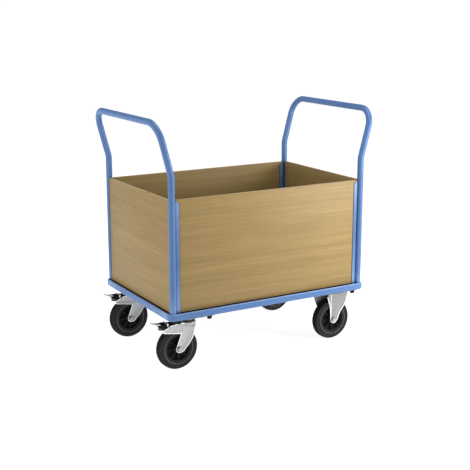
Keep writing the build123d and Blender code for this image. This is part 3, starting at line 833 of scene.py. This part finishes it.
# Painted shade: the web between hub and band is darker than the rest of the rim.
web_shade_plastic = dark_paint("web_plastic_painted_shade", (0.0035, 0.0035, 0.0037), (0.0070, 0.0070, 0.0070), 0.6, 0.10)
tread_from = 0.0968
grey_ring_from = 0.0698
grey_ring_to = 0.0738
half_tyre = [(0.0660, 0.0000), (0.0660, 0.0165), (0.0668, 0.0182), (0.0684, 0.0192), (0.0700, 0.0196),
             (0.0706, 0.0208), (0.0716, 0.0214), (0.0724, 0.0214), (0.0734, 0.0208), (0.0740, 0.0196),
             (0.0780, 0.0190), (0.0800, 0.0190), (0.0806, 0.0198), (0.0814, 0.0198), (0.0820, 0.0190),
             (0.0860, 0.0190), (0.0905, 0.0194), (0.0912, 0.0201), (0.0922, 0.0199), (0.0928, 0.0192),
             (0.0950, 0.0182), (0.0972, 0.0160), (0.0988, 0.0130), (0.0997, 0.0090), (0.0999, 0.0012),
             (0.1000, 0.0006), (0.1000, 0.0000)]
half_rim = [(0.0140, 0.0000), (0.0140, 0.0222), (0.0148, 0.0230), (0.0200, 0.0230), (0.0210, 0.0220),
            (0.0216, 0.0060), (0.0240, 0.0034), (0.0540, 0.0030), (0.0572, 0.0050), (0.0580, 0.0150),
            (0.0588, 0.0166), (0.0600, 0.0170), (0.0652, 0.0170), (0.0660, 0.0164), (0.0660, 0.0000)]
hub_radius = 0.0216
band_radius = 0.0575
web_half = 0.0062
rib_count = 8
rib_place = (0.0390, 0, 0.0075)
rib_size = (0.0384, 0.0030, 0.0110)
for corner, centre in castors.items():
    flat = Matrix.Translation(centre) @ Matrix.Rotation(math.pi / 2, 4, "X")
    tyre_shape = bmesh.new()
    turned(tyre_shape, half_tyre, flat, steps=120)
    turned(tyre_shape, [(radius, -depth) for radius, depth in half_tyre], flat, steps=120)
    for face in tyre_shape.faces:
        middle = face.calc_center_median() - centre
        reach = math.hypot(middle.x, middle.z)
        if reach > tread_from:
            face.material_index = 1
        elif grey_ring_from < reach < grey_ring_to:
            face.material_index = 2
    finish_piece("rubber_tyre_" + corner, tyre_shape, [wall_rubber, tread_rubber, ring_highlight_rubber],
                 "wheel_" + corner, ["tyre_" + corner], crease=40)
    rim_shape = bmesh.new()
    turned(rim_shape, half_rim, flat, steps=80)
    turned(rim_shape, [(radius, -depth) for radius, depth in half_rim], flat, steps=80)
    for number in range(rib_count):
        spin = flat @ Matrix.Rotation(number * math.tau / rib_count, 4, "Z")
        for side in (-1, 1):
            reach, sideways, depth = rib_place
            rib = (spin @ Matrix.Translation((reach, sideways, side * depth))
                   @ Matrix.Diagonal((*rib_size, 1)))
            bmesh.ops.create_cube(rim_shape, size=1, matrix=rib)
    for face in rim_shape.faces:
        middle = face.calc_center_median() - centre
        reach = math.hypot(middle.x, middle.z)
        if hub_radius < reach < band_radius and abs(middle.y) < web_half:
            face.material_index = 1
    finish_piece("plastic_rim_" + corner, rim_shape, [rim_plastic, web_shade_plastic], "wheel_" + corner,
                 ["rim_" + corner], eased=0.0006)
    refinish("bearing_" + corner, grease_steel)


# Brakes. A black lever rocks on a steel pin between the fork's wings and presses its nose
# on the tyre. A steel band wraps over the lever, and a steel tread with a round hole sticks
# out behind for the foot; both are painted near white as a highlight on the steel.
def eased_copy(name, node, finish, body, width):
    shape = bmesh.new()
    shape.from_mesh(nodes[node].data)
    bmesh.ops.remove_doubles(shape, verts=shape.verts, dist=0.000001)
    bmesh.ops.dissolve_limit(shape, angle_limit=math.radians(1), verts=shape.verts, edges=shape.edges)
    finish_piece(name, shape, [finish], body, [node], eased=width)


band_bars = (((-0.0575, -0.0223, 0.2257), (-0.0515, 0.0223, 0.2270)),
             ((-0.0575, -0.0223, 0.2130), (-0.0515, -0.0211, 0.2257)),
             ((-0.0575, 0.0211, 0.2130), (-0.0515, 0.0223, 0.2257)))
for corner, body in (("front_left", "brake_front"), ("rear_left", "brake_rear")):
    eased_copy("brake_lever_" + corner, "brake_arm_" + corner, cap_plastic, body, 0.0008)
    # The tread and the band take the near-white zinc, painted highlight.
    eased_copy("brake_tread_" + corner, "brake_pedal_" + corner, near_white_highlight_zinc, body, 0.0005)
    axle = Vector((castors[corner].x, castors[corner].y, 0))
    band_shape = bmesh.new()
    for near, far in band_bars:
        low = axle + Vector(near)
        high = axle + Vector(far)
        bmesh.ops.create_cube(band_shape, size=1, matrix=Matrix.Translation((low + high) / 2)
                              @ Matrix.Diagonal((*(high - low), 1)))
    finish_piece("brake_band_" + corner, band_shape, [near_white_highlight_zinc], body, eased=0.0003)
    eased_copy("brake_pivot_" + corner, "brake_pin_" + corner, bright_zinc, swivel_body[corner],
               0.0005)
